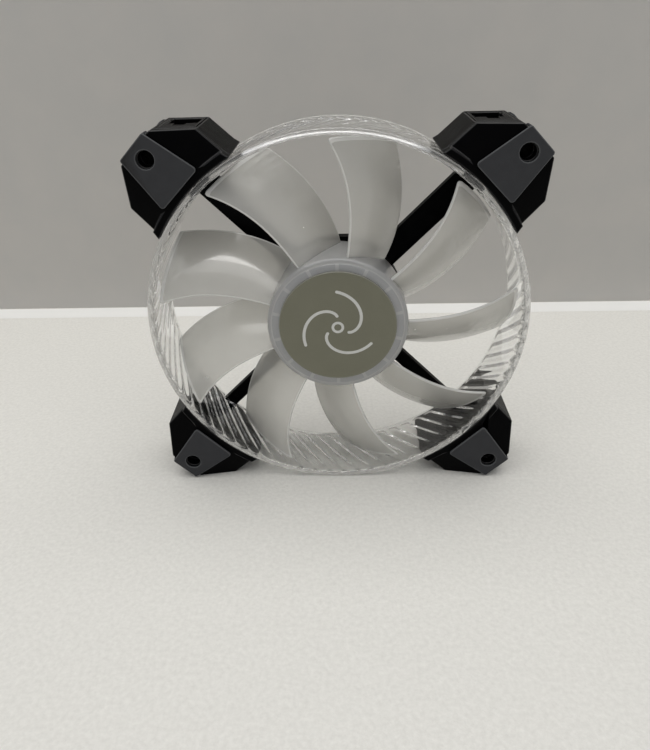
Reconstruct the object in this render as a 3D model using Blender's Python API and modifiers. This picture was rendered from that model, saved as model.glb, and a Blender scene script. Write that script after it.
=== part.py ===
"""Case fan, 120 mm: clear duct ring, black corner blocks, nine-blade rotor on a sleeve bearing.

Run with blender --background --python part.py. The fan stands upright: X is to the right and
Z is up as seen from the intake side, and air flows along +Y. The origin is the middle of the fan.
Sizes are given in millimetres and turned into metres by MM.
"""

from math import atan2, cos, hypot, pi, radians, sin, sqrt

import bmesh
import bpy
from mathutils import Matrix, Vector

MM = 0.001
GAP = 0.3                # clearance between pieces that touch
EPS = 0.5                # how far a cutter runs past the face that it opens

# Driving dimensions
HALF_SIZE = 59.94        # half the width over the corner blocks
FRONT = -12.5            # plane of the front pads
BACK = 12.5              # plane of the rear pads
HOLE_PITCH = 105.0       # spacing of the mounting holes
HOLE_R = 2.35

RING_R = 59.8            # clear duct ring
RING_BORE_R = 57.6
RING_FRONT = -11.8
RING_BACK = 12.2
RING_STEPS = 72

# Corner blocks: the shapes are symmetric about the diagonal, u outward and v across it
BAND_R = 62.5            # outer radius of the band that hugs the ring
BAND_SPAN = 15.8         # half angle of the band
CHAMFER_U = 78.2
FLAT_START = 38.2        # where the flat sides turn into the inclines
INCLINE_FOOT = (53.6, 31.2)
CAP_FRONT = -11.4
CAP_BACK = -8.0
FACET_SLOPE = radians(15.9)
BLOCK_BACK = 11.9

PAD_OUTER_U = 79.15
PAD_INNER_U = 62.2
PAD_OUTER_HALF = 5.2
PAD_INNER_HALF = 7.85
PAD_THICK = 0.8
PAD_WRAP = 4.6           # how far a pad reaches over the chamfer
PAD_WRAP_THICK = 0.65
PAD_CORNER_R = 1.0

# Rear spider: motor base and four struts
SPIDER_FRONT = 8.9
SPIDER_BACK = 11.9
BASE_R = 22.3
WIDE_STRUT = 8.0         # the upper struts carry the wires
NARROW_STRUT = 4.6
STRUT_FRONT = 9.1
STRUT_BACK = 11.7
STRUT_END_U = 62.0
CHANNEL_WIDTH = 5.2
CHANNEL_DEPTH = 1.6
CHANNEL_START_U = 18.0
WINDOW_U = (18.4, 20.6)  # slot where the wires pass from the board into their channel
LUG = ((0.5, 3.8), (7.4, 10.4), (21.8, 23.3))    # wire lug above the hub, its X, Y and Z
LABEL_R = 17.0
LABEL_RECESS = 0.7
WIRE_THICK = 1.1
WIRE_BEND_X = 44.4       # where a ribbon turns up towards its socket board
WIRE_END_Z = 50.0

# Rotor
HUB_R = 22.4
HUB_FRONT = -10.9
HUB_BACK = 6.2
HUB_WALL = 1.6
BADGE_R = 18.65
BLADES = 9
BLADE_TIP_R = 56.8
BLADE_FRONT = -9.2
BLADE_BACK = 5.0
BLADE_CAMBER = 0.35
BLADE_TURN = 3.0         # turn of the rotor at rest, degrees
YOKE_WALL = 0.9
MAGNET_BORE_R = 17.2
MAGNET_FRONT = -6.5
MAGNET_BACK = 5.4
BUSH_R = 2.6
BUSH_LENGTH = 3.0

# Shaft and bearing
SHAFT_R = 1.5
SHAFT_END = 9.0
GROOVE_R = 1.05
GROOVE_FRONT = 7.2
GROOVE_BACK = 7.9
SLEEVE_BORE_R = 1.57
SLEEVE_R = 3.2
SLEEVE_FRONT = -4.2
SLEEVE_BACK = 6.0
SEAL_BORE_R = 1.9
TUBE_BORE_R = 3.5
TUBE_R = 4.6
TUBE_FRONT = -5.4
TUBE_BACK = 10.2
THRUST_FRONT = 9.3

# Stator
CORE_BORE_R = 4.9
CORE_HUB_R = 7.6
ARM_HALF = 2.0           # half width of a pole's arm
NECK_R = 13.2            # where an arm widens into its shoe
SHOE_HALF = 37           # half angle of a shoe
INSULATOR_THICK = 0.8
COIL_WALL = 1.7
COIL_SPAN = (8.3, 12.2)  # radii between which a coil is wound
CORE_R = 16.4
CORE_FRONT = -3.5
CORE_BACK = 2.5
BOARD_FRONT = 8.0
BOARD_BACK = 8.6
BOARD_R = 21.4
BOARD_BORE_R = 5.2
PART_HEIGHT = 0.8        # of the small parts on the board

# Sockets in the tops of the upper corner blocks, given for the right-hand one
SOCKET_X = (38.9, 49.1)
SOCKET_Y = (-5.5, 10.0)
SOCKET_FLOOR_Z = 52.5
MOUTH_X = (39.6, 48.1)
MOUTH_Y = (0.5, 8.5)
MOUTH_FLOOR_Z = 53.7
TONGUE_X = (40.4, 47.3)
TONGUE_Y = (1.4, 3.0)
TONGUE_TOP_Z = 59.2
KEY_Y = (5.2, 6.8)       # key notch in the outer end of the mouth
KEY_DEPTH = 0.6
WIRE_SHAFT_X = (41.8, 47.0)
WIRE_SHAFT_FRONT = 9.9
WIRE_SHAFT_FLOOR_Z = 42.0
ROOM_BACK = 11.0
SOCKET_BOARD_X = (39.4, 48.6)
SOCKET_BOARD_Y = (-4.5, 10.7)
SOCKET_BOARD_THICK = 1.2
CONTACTS = 5
CONTACT_PITCH = 1.25
CONTACT_WIDTH = 0.7
CONTACT_THICK = 0.3

for old in list(bpy.data.objects):
    bpy.data.objects.remove(old)

PARTS = bpy.data.collections.new("case_fan")
CUTTERS = bpy.data.collections.new("cutters")
CUTTERS.hide_render = True
bpy.context.scene.collection.children.link(PARTS)
bpy.context.scene.collection.children.link(CUTTERS)

FACING = Matrix.Rotation(pi / 2, 4, "X")    # local X, Y, Z become world X, Z, -Y


def material(name, color, roughness, metallic=0.0, transmission=0.0):
    made = bpy.data.materials.new(name)
    made.use_nodes = True
    shader = made.node_tree.nodes["Principled BSDF"]
    shader.inputs["Base Color"].default_value = (*color, 1.0)
    shader.inputs["Roughness"].default_value = roughness
    shader.inputs["Metallic"].default_value = metallic
    shader.inputs["Transmission Weight"].default_value = transmission
    return made


CLEAR = material("clear_polycarbonate", (0.92, 0.93, 0.93), 0.05, transmission=0.95)
MILKY = material("milky_polycarbonate", (0.78, 0.79, 0.78), 0.35, transmission=0.4)
BLACK = material("black_plastic", (0.018, 0.018, 0.020), 0.45)
RUBBER = material("grey_rubber", (0.085, 0.088, 0.095), 0.75)
BADGE = material("badge_film", (0.13, 0.125, 0.09), 0.4, 0.3)
LABEL = material("label_paper", (0.62, 0.62, 0.60), 0.6)
STEEL = material("steel", (0.55, 0.56, 0.57), 0.3, 1.0)
SILICON_STEEL = material("silicon_steel", (0.35, 0.36, 0.38), 0.45, 1.0)
BRASS = material("brass", (0.78, 0.58, 0.28), 0.35, 1.0)
BRONZE = material("sintered_bronze", (0.52, 0.36, 0.20), 0.6, 1.0)
MAGNET = material("magnet_rubber", (0.05, 0.045, 0.04), 0.7)
NYLON = material("white_nylon", (0.80, 0.79, 0.74), 0.5)
COPPER = material("enamelled_copper", (0.60, 0.24, 0.10), 0.35, 0.9)
BOARD = material("circuit_board", (0.03, 0.16, 0.07), 0.5)
CHIP = material("chip_black", (0.02, 0.02, 0.02), 0.5)
LAMP = material("lamp_white", (0.85, 0.83, 0.62), 0.4)
GOLD = material("gold_plating", (0.85, 0.62, 0.25), 0.25, 1.0)
FELT = material("felt", (0.35, 0.33, 0.28), 0.9)
WIRE = material("wire_black", (0.03, 0.03, 0.03), 0.5)


def keep(name, mesh, finish, turn=0.0):
    """A part of the fan, turned by whole corners anticlockwise as seen from the intake."""
    part = bpy.data.objects.new(name, mesh)
    part.rotation_euler = (0, -turn, 0)
    if not mesh.materials:
        mesh.materials.append(finish)
    PARTS.objects.link(part)
    return part


def cutter(name, mesh):
    tool = bpy.data.objects.new(name, mesh)
    tool.hide_render = True
    tool.display_type = "WIRE"
    CUTTERS.objects.link(tool)
    return tool


def combine(part, tool, operation="DIFFERENCE"):
    """Cuts the tool from the part, or joins it on."""
    step = part.modifiers.new(tool.name, "BOOLEAN")
    step.operation = operation
    step.solver = "EXACT"
    step.object = tool
    return part


def evaluated_mesh(made):
    """The object's mesh with its modifiers applied, in world space; the object is removed."""
    bpy.context.view_layer.update()
    graph = bpy.context.evaluated_depsgraph_get()
    mesh = bpy.data.meshes.new_from_object(made.evaluated_get(graph))
    mesh.transform(made.matrix_world)
    bpy.data.objects.remove(made)
    return mesh


def plate(outlines, low, high, place=None):
    """A flat outline with any holes, from low to high along local Z, or along world Y by default."""
    curve = bpy.data.curves.new("outline", "CURVE")
    curve.dimensions = "2D"
    curve.fill_mode = "BOTH"
    curve.extrude = (high - low) / 2 * MM
    for outline in outlines:
        spline = curve.splines.new("POLY")
        spline.points.add(len(outline) - 1)
        spline.use_cyclic_u = True
        for point, (a, b) in zip(spline.points, outline):
            point.co = (a * MM, b * MM, 0, 1)
    shape = bpy.data.objects.new("outline", curve)
    bpy.context.scene.collection.objects.link(shape)
    middle = (low + high) / 2 * MM
    if place is None:
        shape.matrix_world = Matrix.Translation((0, middle, 0)) @ FACING
    else:
        shape.matrix_world = place @ Matrix.Translation((0, 0, middle))
    mesh = evaluated_mesh(shape)
    mesh.materials.clear()
    shell = bmesh.new()
    shell.from_mesh(mesh)
    bmesh.ops.remove_doubles(shell, verts=shell.verts, dist=1e-6)
    bmesh.ops.recalc_face_normals(shell, faces=shell.faces)
    shell.to_mesh(mesh)
    shell.free()
    return mesh


def block(x, y, z):
    """A box between two values on each axis."""
    low = Vector((x[0], y[0], z[0])) * MM
    high = Vector((x[1], y[1], z[1])) * MM
    mesh = bpy.data.meshes.new("block")
    shell = bmesh.new()
    size = high - low
    place = Matrix.Translation((low + high) / 2) @ Matrix.Diagonal((*size, 1))
    bmesh.ops.create_cube(shell, size=1, matrix=place)
    shell.to_mesh(mesh)
    shell.free()
    return mesh


def turned(name, profile, finish, steps=48, parent=None):
    """A piece turned about the fan's axis; profile is (radius, y), front to back on its outer side."""
    mesh = bpy.data.meshes.new(name)
    points = [(r * MM, 0, -y * MM) for r, y in profile]
    on_axis = profile[0][0] == 0
    links = [(i, i + 1) for i in range(len(points) - 1)]
    if not on_axis:
        links.append((len(points) - 1, 0))
    mesh.from_pydata(points, links, [])
    part = keep(name, mesh, finish)
    part.rotation_euler = (pi / 2, 0, 0)
    screw = part.modifiers.new("turn", "SCREW")
    screw.axis = "Z"
    screw.steps = steps
    screw.render_steps = steps
    screw.use_merge_vertices = True
    screw.merge_threshold = 1e-5
    screw.use_smooth_shade = True
    part.parent = parent
    return part


def tube_profile(bore_r, outer_r, front, back):
    return [(bore_r, front), (outer_r, front), (outer_r, back), (bore_r, back)]


def arc(radius, start, end, steps, centre=(0, 0)):
    """Points of an arc, angles in degrees."""
    angles = [radians(start + (end - start) * i / steps) for i in range(steps + 1)]
    return [(centre[0] + radius * cos(a), centre[1] + radius * sin(a)) for a in angles]


def circle(radius, steps, centre=(0, 0)):
    return arc(radius, 0, 360, steps, centre)[:-1]


def from_diagonal(u, v):
    """Diagonal coordinates of the upper right corner to X and Z; v grows anticlockwise."""
    return ((u - v) / sqrt(2), (u + v) / sqrt(2))


def diagonal_block(u, v, y, corner):
    """A box set square to the diagonal of a corner."""
    mesh = block(u, y, v)
    mesh.transform(Matrix.Rotation(-pi / 4 - corner * pi / 2, 4, "Y"))
    return mesh


def copy_corners(name, mesh, finish):
    """The same piece on all four corners."""
    for corner, place in enumerate(CORNERS):
        keep(f"{name}_{place}", mesh, finish, corner * pi / 2)


CORNERS = ("top_right", "top_left", "bottom_left", "bottom_right")


def strut_width(corner):
    return WIDE_STRUT if corner < 2 else NARROW_STRUT


# ---- Corner blocks ----

def corner_outline():
    """The block seen from the front: arc on the ring, two inclines, two flats and the chamfer."""
    inner = arc(RING_R + GAP, 45 + BAND_SPAN, 45 - BAND_SPAN, 10)
    chamfer_start = CHAMFER_U * sqrt(2) - HALF_SIZE
    flank = [INCLINE_FOOT, (HALF_SIZE, FLAT_START), (HALF_SIZE, chamfer_start)]
    return inner + flank + [(z, x) for x, z in reversed(flank)]


def facet_tool(side):
    """Slopes the cap back beside its pad, outside the band that hugs the ring."""
    start = Vector(from_diagonal(PAD_OUTER_U, -PAD_OUTER_HALF - GAP))
    end = Vector(from_diagonal(PAD_INNER_U, -PAD_INNER_HALF - GAP))
    along = (end - start).normalized()
    out = Vector((-along.y, along.x))
    if out.dot(Vector((1, -1))) < 0:
        out = -out
    along = Vector((along.x, 0, along.y))
    out = Vector((out.x, 0, out.y))
    rise = out * cos(FACET_SLOPE) + Vector((0, 1, 0)) * sin(FACET_SLOPE)
    normal = along.cross(rise)
    if normal.y > 0:
        along = -along
        normal = -normal
    centre = (start + end) / 2
    basis = Matrix((along, rise, normal)).transposed().to_4x4()
    basis.translation = Vector((centre.x, CAP_FRONT, centre.y)) * MM
    mesh = block((-25, 25), (0, 20), (0, 12))
    mesh.transform(basis)
    if side == "upper":
        mesh.transform(Matrix(((0, 0, 1, 0), (0, 1, 0, 0), (1, 0, 0, 0), (0, 0, 0, 1))))
        mesh.flip_normals()
    tool = cutter(f"facet_{side}", mesh)
    band = cutter(f"band_{side}", plate([circle(BAND_R, 120)], FRONT - 10, BACK))
    return combine(tool, band)


def hole_tool():
    centre = (HOLE_PITCH / 2, HOLE_PITCH / 2)
    return cutter("screw_hole", plate([circle(HOLE_R, 16, centre)], FRONT - EPS, BACK + EPS))


def corner_caps(hole):
    cap = keep("cap", plate([corner_outline()], CAP_FRONT, CAP_BACK), BLACK)
    combine(cap, facet_tool("lower"))
    combine(cap, facet_tool("upper"))
    combine(cap, hole)
    copy_corners("corner_cap", evaluated_mesh(cap), BLACK)


def pad_outline(grow=0.0):
    """Trapezium with rounded inner corners, pointing along the diagonal."""
    half = PAD_INNER_HALF + grow
    inner_u = PAD_INNER_U - grow
    radius = PAD_CORNER_R
    side = [(PAD_OUTER_U + grow, -PAD_OUTER_HALF - grow)]
    corner = arc(radius, 270, 180, 4, (inner_u + radius, -half + radius))
    lower = side + corner
    return [from_diagonal(u, v) for u, v in lower + [(u, -v) for u, v in reversed(lower)]]


def pads(hole):
    """Front and rear pads: a plate on the face, and a lip over the chamfer."""
    for name, face, reach in (("front_pad", FRONT, 1), ("rear_pad", BACK, -1)):
        span = sorted((face, face + reach * PAD_THICK))
        pad = keep("pad", plate([pad_outline()], *span), RUBBER)
        lip_u = (PAD_OUTER_U - PAD_WRAP_THICK, PAD_OUTER_U)
        lip_v = (-PAD_OUTER_HALF, PAD_OUTER_HALF)
        lip_y = sorted((face, face + reach * PAD_WRAP))
        lip = cutter(f"{name}_lip", diagonal_block(lip_u, lip_v, lip_y, 0))
        combine(pad, lip, "UNION")
        combine(pad, hole)
        copy_corners(name, evaluated_mesh(pad), RUBBER)


def corner_bodies(hole):
    recess = cutter("pad_recess", plate([pad_outline(GAP)], BACK - PAD_THICK - GAP, BACK + EPS))
    blank = plate([corner_outline()], CAP_BACK + GAP, BLOCK_BACK)
    body = keep("body", blank, BLACK)
    combine(body, hole)
    combine(body, recess)
    shared = evaluated_mesh(body)
    for corner, place in enumerate(CORNERS):
        part = keep(f"corner_body_{place}", shared, BLACK, corner * pi / 2)
        half = strut_width(corner) / 2 + GAP
        mesh = diagonal_block((50, STRUT_END_U + GAP), (-half, half),
                              (SPIDER_FRONT - GAP, BACK), corner)
        combine(part, cutter(f"strut_seat_{place}", mesh))
        if corner < 2:
            side = 1 if corner == 0 else -1
            room = [(SOCKET_X[0] - GAP) * side, (SOCKET_X[1] + GAP) * side]
            room_floor = SOCKET_FLOOR_Z - SOCKET_BOARD_THICK - EPS - GAP
            mesh = block(sorted(room), (SOCKET_Y[0] - GAP, ROOM_BACK),
                         (room_floor, HALF_SIZE + EPS))
            combine(part, cutter(f"socket_room_{place}", mesh))
            shaft = [x * side for x in WIRE_SHAFT_X]
            mesh = block(sorted(shaft), (WIRE_SHAFT_FRONT, BACK),
                         (WIRE_SHAFT_FLOOR_Z, SOCKET_FLOOR_Z))
            combine(part, cutter(f"wire_shaft_{place}", mesh))


# ---- Ring and spider ----

def clear_ring():
    ring = turned("clear_ring", tube_profile(RING_BORE_R, RING_R, RING_FRONT, RING_BACK),
                  CLEAR, RING_STEPS)
    for corner, place in enumerate(CORNERS):
        half = strut_width(corner) / 2 + GAP
        mesh = diagonal_block((50, 70), (-half, half), (SPIDER_FRONT - GAP, BACK), corner)
        combine(ring, cutter(f"ring_notch_{place}", mesh))


def spider():
    """Motor base, four struts, and a small lug at the top that holds the wires."""
    base = keep("spider", plate([circle(BASE_R, 48)], SPIDER_FRONT, SPIDER_BACK), BLACK)
    for corner, place in enumerate(CORNERS):
        half = strut_width(corner) / 2
        mesh = diagonal_block((BASE_R - 3, STRUT_END_U), (-half, half),
                              (STRUT_FRONT, STRUT_BACK), corner)
        combine(base, cutter(f"strut_{place}", mesh), "UNION")
    combine(base, cutter("lug", block(*LUG)), "UNION")
    recess = plate([circle(LABEL_R + GAP, 48)], SPIDER_BACK - LABEL_RECESS, SPIDER_BACK + EPS)
    combine(base, cutter("label_recess", recess))
    pocket = plate([circle(TUBE_R + GAP, 32)], SPIDER_FRONT - EPS, TUBE_BACK + GAP)
    combine(base, cutter("tube_pocket", pocket))
    half = CHANNEL_WIDTH / 2
    for corner, place in enumerate(CORNERS[:2]):
        floor = SPIDER_BACK - CHANNEL_DEPTH
        channel = diagonal_block((CHANNEL_START_U, STRUT_END_U + EPS), (-half, half),
                                 (floor, BACK), corner)
        combine(base, cutter(f"channel_{place}", channel))
        window = diagonal_block(WINDOW_U, (0.4 - half, half - 0.4),
                                (SPIDER_FRONT - EPS, BACK), corner)
        combine(base, cutter(f"window_{place}", window))


def wires():
    """A flat ribbon in each upper strut, turning up to the socket board in the corner block."""
    half = CHANNEL_WIDTH / 2 - 0.4
    floor = SPIDER_BACK - CHANNEL_DEPTH + GAP
    for side, place in ((1, "right"), (-1, "left")):
        start = [from_diagonal(WINDOW_U[0], half), from_diagonal(WINDOW_U[0], -half)]
        x_low = WIRE_BEND_X - half
        x_high = WIRE_BEND_X + half
        lower_bend = x_high - half * sqrt(2)
        upper_bend = x_low + half * sqrt(2)
        outline = [start[0], start[1], (x_high, lower_bend), (x_high, WIRE_END_Z),
                   (x_low, WIRE_END_Z), (x_low, upper_bend)]
        outline = [(x * side, z) for x, z in outline]
        keep(f"wire_ribbon_{place}", plate([outline], floor, floor + WIRE_THICK), WIRE)


def label():
    keep("rear_label", plate([circle(LABEL_R, 48)], SPIDER_BACK - 0.4, SPIDER_BACK - 0.1), LABEL)


# ---- Sockets ----

def sockets():
    for side, place in ((1, "right"), (-1, "left")):
        def across(pair):
            return sorted((pair[0] * side, pair[1] * side))

        body = keep(f"socket_{place}",
                    block(across(SOCKET_X), SOCKET_Y, (SOCKET_FLOOR_Z, HALF_SIZE)), BLACK)
        mouth = block(across(MOUTH_X), MOUTH_Y, (MOUTH_FLOOR_Z, HALF_SIZE + EPS))
        combine(body, cutter(f"mouth_{place}", mouth))
        tongue = block(across(TONGUE_X), TONGUE_Y, (MOUTH_FLOOR_Z - EPS, TONGUE_TOP_Z))
        combine(body, cutter(f"tongue_{place}", tongue), "UNION")
        key = block(across((MOUTH_X[1] - EPS, MOUTH_X[1] + KEY_DEPTH)), KEY_Y,
                    (MOUTH_FLOOR_Z, HALF_SIZE + EPS))
        combine(body, cutter(f"key_{place}", key))
        top = SOCKET_FLOOR_Z - GAP
        small_board = block(across(SOCKET_BOARD_X), SOCKET_BOARD_Y,
                            (top - SOCKET_BOARD_THICK, top))
        keep(f"socket_board_{place}", small_board, BOARD)
        middle = (TONGUE_X[0] + TONGUE_X[1]) / 2
        for i in range(CONTACTS):
            x = middle + (i - (CONTACTS - 1) / 2) * CONTACT_PITCH
            y = TONGUE_Y[1] + GAP
            half = CONTACT_WIDTH / 2
            contact = block(across((x - half, x + half)), (y, y + CONTACT_THICK),
                            (MOUTH_FLOOR_Z + GAP, TONGUE_TOP_Z - EPS))
            keep(f"contact_{place}_{i + 1}", contact, GOLD)


# ---- Stator and bearing ----

def pole(shoe_r, span, neck_r):
    """Outline of the four-pole core: arms with arc-shaped shoes around a round hub."""
    points = []
    for k in range(4):
        turn = 45 + 90 * k
        foot = [(sqrt(CORE_HUB_R ** 2 - ARM_HALF ** 2), -ARM_HALF), (neck_r, -ARM_HALF)]
        horn_r = neck_r + 1.2
        lower = foot + [(horn_r * cos(radians(span)), -horn_r * sin(radians(span)))]
        tip = arc(shoe_r, -span, span, 8)
        whole = lower + tip + [(x, -z) for x, z in reversed(lower)]
        for x, z in whole:
            a = radians(turn) + atan2(z, x)
            r = hypot(x, z)
            points.append((r * cos(a), r * sin(a)))
    return points


def stator():
    bore = circle(CORE_BORE_R, 32)
    core = plate([pole(CORE_R, SHOE_HALF, NECK_R), bore], CORE_FRONT, CORE_BACK)
    keep("stator_core", core, SILICON_STEEL)
    shape = [pole(CORE_R - 0.5, SHOE_HALF - 1, NECK_R + 0.2), bore]
    front = CORE_FRONT - GAP - INSULATOR_THICK
    back = CORE_BACK + GAP + INSULATOR_THICK
    keep("insulator_front", plate(shape, front, CORE_FRONT - GAP), NYLON)
    keep("insulator_rear", plate(shape, CORE_BACK + GAP, back), NYLON)
    middle = -(front + back) / 2
    half = (back - front) / 2 + GAP
    for k in range(4):
        # local X runs across the arm, local Y towards the front and local Z outward
        loops = []
        for wall in (0.0, COIL_WALL):
            w = ARM_HALF + GAP + wall
            h = half + wall
            loops.append([(-w, middle - h), (w, middle - h), (w, middle + h), (-w, middle + h)])
        angle = radians(45 + 90 * k)
        place = Matrix((
            (-sin(angle), 0, cos(angle), 0),
            (0, -1, 0, 0),
            (cos(angle), 0, sin(angle), 0),
            (0, 0, 0, 1),
        ))
        keep(f"coil_{k + 1}", plate(loops, *COIL_SPAN, place), COPPER)


def board():
    """The round circuit board behind the coils, with its sensor, driver and lamps."""
    disc = plate([circle(BOARD_R, 48), circle(BOARD_BORE_R, 24)], BOARD_FRONT, BOARD_BACK)
    keep("driver_board", disc, BOARD)
    face = BOARD_FRONT - GAP
    height = (face - PART_HEIGHT, face)
    keep("hall_sensor", block((-1.6, 1.6), height, (-18.8, -17.2)), CHIP)
    keep("driver_chip", block((-12.5, -8.5), height, (-2.5, 2.5)), CHIP)
    for k in range(4):
        keep(f"led_{k + 1}", block((18.4, 21.0), height, (-1.3, 1.3)), LAMP, radians(22 + 90 * k))


def bearing():
    tube = tube_profile(TUBE_BORE_R, TUBE_R, TUBE_FRONT, TUBE_BACK)
    turned("bearing_tube", tube, BRASS, 40)
    sleeve = tube_profile(SLEEVE_BORE_R, SLEEVE_R, SLEEVE_FRONT, SLEEVE_BACK)
    turned("sleeve_bearing", sleeve, BRONZE, 32)
    seal = tube_profile(SEAL_BORE_R, SLEEVE_R, TUBE_FRONT + 0.2, SLEEVE_FRONT - GAP)
    turned("oil_seal", seal, FELT, 32)
    pad = [(0, THRUST_FRONT), (SLEEVE_R, THRUST_FRONT), (SLEEVE_R, TUBE_BACK), (0, TUBE_BACK)]
    turned("thrust_pad", pad, NYLON, 32)


# ---- Rotor ----

def lead_angle(r):
    """Where the front edge of a blade lies at radius r, degrees."""
    t = r - 30
    return 40 + 0.125 * t + 0.0087 * t * t


def trail_angle(r):
    return 9.8 + 0.72 * (r - 30)


def tip_radius(s):
    """The tip is cut to the duct, with its front corner rounded."""
    corner = 1.5
    width = 0.08
    if s >= width:
        return BLADE_TIP_R
    x = 1 - s / width
    return BLADE_TIP_R - corner * (1 - sqrt(1 - x * x))


def blade_point(r, s):
    """Middle of the blade at radius r and chord share s, 0 at the front edge."""
    angle = radians(lead_angle(r) + (trail_angle(r) - lead_angle(r)) * s)
    depth = (1 - BLADE_CAMBER) * s + BLADE_CAMBER * s * s
    y = BLADE_FRONT + (BLADE_BACK - BLADE_FRONT) * depth
    return Vector((r * cos(angle), y, r * sin(angle)))


def blade_thickness(r, s):
    body = 1.5 - 0.4 * (r - HUB_R) / (BLADE_TIP_R - HUB_R)
    return body * (0.55 + 0.45 * sin(pi * min(s + 0.08, 1.0)) ** 0.6)


def blade_side(sign, rows, chords):
    points = []
    root = HUB_R - 0.9
    for i in range(rows + 1):
        for s in chords:
            r = root + (tip_radius(s) - root) * i / rows
            here = blade_point(r, s)
            along = blade_point(r, min(s + 0.01, 1)) - blade_point(r, max(s - 0.01, 0))
            out = blade_point(r + 0.2, s) - blade_point(r - 0.2, s)
            normal = along.cross(out).normalized()
            points.append((here + normal * sign * blade_thickness(r, s) / 2) * MM)
    return points


def blades_mesh():
    """All nine blades as closed lofts; the chord is finer at the rounded front corner."""
    rows = 5
    chords = [0, 0.02, 0.08, 0.25, 0.45, 0.65, 0.83, 1.0]
    count = len(chords)
    grid = (rows + 1) * count
    shell = bmesh.new()
    for k in range(BLADES):
        turn = Matrix.Rotation(-radians(BLADE_TURN + 360 / BLADES * k), 4, "Y")
        points = blade_side(1, rows, chords) + blade_side(-1, rows, chords)
        verts = [shell.verts.new(turn @ p) for p in points]
        for i in range(rows):
            for j in range(count - 1):
                a, b = i * count + j, i * count + j + 1
                c, d = b + count, a + count
                shell.faces.new([verts[n] for n in (a, b, c, d)])
                shell.faces.new([verts[n + grid] for n in (d, c, b, a)])
        rim = list(range(count))
        rim += [i * count + count - 1 for i in range(1, rows + 1)]
        rim += [rows * count + j for j in range(count - 2, -1, -1)]
        rim += [i * count for i in range(rows - 1, 0, -1)]
        for n, m in zip(rim, rim[1:] + rim[:1]):
            shell.faces.new([verts[m], verts[n], verts[n + grid], verts[m + grid]])
    bmesh.ops.recalc_face_normals(shell, faces=shell.faces)
    mesh = bpy.data.meshes.new("blades")
    shell.to_mesh(mesh)
    shell.free()
    return mesh


def rotor():
    axis = bpy.data.objects.new("rotor_axis", None)
    PARTS.objects.link(axis)
    inner_r = HUB_R - HUB_WALL
    plate_back = HUB_FRONT + HUB_WALL
    cup = [(0, HUB_FRONT), (HUB_R - 1.0, HUB_FRONT), (HUB_R - 0.3, HUB_FRONT + 0.3),
           (HUB_R, HUB_FRONT + 1.0), (HUB_R, HUB_BACK), (inner_r, HUB_BACK),
           (inner_r, plate_back), (0, plate_back)]
    impeller = turned("impeller", cup, MILKY, 60, axis)
    combine(impeller, cutter("blades", blades_mesh()), "UNION")
    turned("hub_badge", [(0, HUB_FRONT - 0.8), (BADGE_R - 0.2, HUB_FRONT - 0.8),
                         (BADGE_R, HUB_FRONT - 0.6), (BADGE_R, HUB_FRONT - GAP),
                         (0, HUB_FRONT - GAP)], BADGE, 60, axis)
    skirt_r = inner_r - GAP
    top = plate_back + GAP
    yoke_bore_r = BUSH_R + GAP
    wall_r = skirt_r - YOKE_WALL
    yoke = [(yoke_bore_r, top), (skirt_r, top), (skirt_r, HUB_BACK - GAP), (wall_r, HUB_BACK - GAP),
            (wall_r, top + YOKE_WALL), (yoke_bore_r, top + YOKE_WALL)]
    turned("rotor_yoke", yoke, STEEL, 48, axis)
    magnet = tube_profile(MAGNET_BORE_R, wall_r - GAP, MAGNET_FRONT, MAGNET_BACK)
    turned("ring_magnet", magnet, MAGNET, 48, axis)
    bush = tube_profile(SHAFT_R + GAP, BUSH_R, top, top + BUSH_LENGTH)
    turned("shaft_bush", bush, BRASS, 32, axis)
    shaft = [(0, top), (SHAFT_R, top), (SHAFT_R, GROOVE_FRONT), (GROOVE_R, GROOVE_FRONT),
             (GROOVE_R, GROOVE_BACK), (SHAFT_R, GROOVE_BACK), (SHAFT_R, SHAFT_END - 0.4),
             (SHAFT_R - 0.4, SHAFT_END), (0, SHAFT_END)]
    turned("shaft", shaft, STEEL, 32, axis)
    clip = arc(2.7, 20, 340, 16) + arc(GROOVE_R + GAP, 340, 20, 16)
    clip_y = (GROOVE_FRONT + GROOVE_BACK) / 2
    part = keep("retaining_clip", plate([clip], clip_y - 0.15, clip_y + 0.15), STEEL)
    part.parent = axis


def build():
    hole = hole_tool()
    clear_ring()
    corner_caps(hole)
    corner_bodies(hole)
    pads(hole)
    spider()
    wires()
    label()
    sockets()
    stator()
    board()
    bearing()
    rotor()


build()
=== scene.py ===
"""Looks for the 120 mm case fan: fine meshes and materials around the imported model.

X is to the right, Z up and +Y away from the viewer, who looks at the intake side.
Sizes are in millimetres and become metres by MM, unless a comment says otherwise.
"""

from math import atan2, cos, pi, radians, sin, sqrt

import bmesh
import bpy
import numpy as np
from mathutils import Matrix, Vector


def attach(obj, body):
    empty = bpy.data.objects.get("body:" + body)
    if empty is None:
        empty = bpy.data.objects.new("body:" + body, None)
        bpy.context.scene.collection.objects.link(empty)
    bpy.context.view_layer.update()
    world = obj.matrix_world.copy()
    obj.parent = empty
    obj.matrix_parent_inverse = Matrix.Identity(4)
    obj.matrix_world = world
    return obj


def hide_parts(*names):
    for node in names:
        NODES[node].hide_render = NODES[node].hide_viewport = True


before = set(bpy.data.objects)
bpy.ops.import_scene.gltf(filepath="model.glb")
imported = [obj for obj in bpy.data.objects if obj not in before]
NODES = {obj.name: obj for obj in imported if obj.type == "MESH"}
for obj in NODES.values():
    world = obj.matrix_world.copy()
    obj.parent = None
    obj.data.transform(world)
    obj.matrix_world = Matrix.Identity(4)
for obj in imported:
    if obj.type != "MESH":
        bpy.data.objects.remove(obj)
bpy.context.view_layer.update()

MM = 0.001
CORNERS = ("top_right", "top_left", "bottom_left", "bottom_right")

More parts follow.
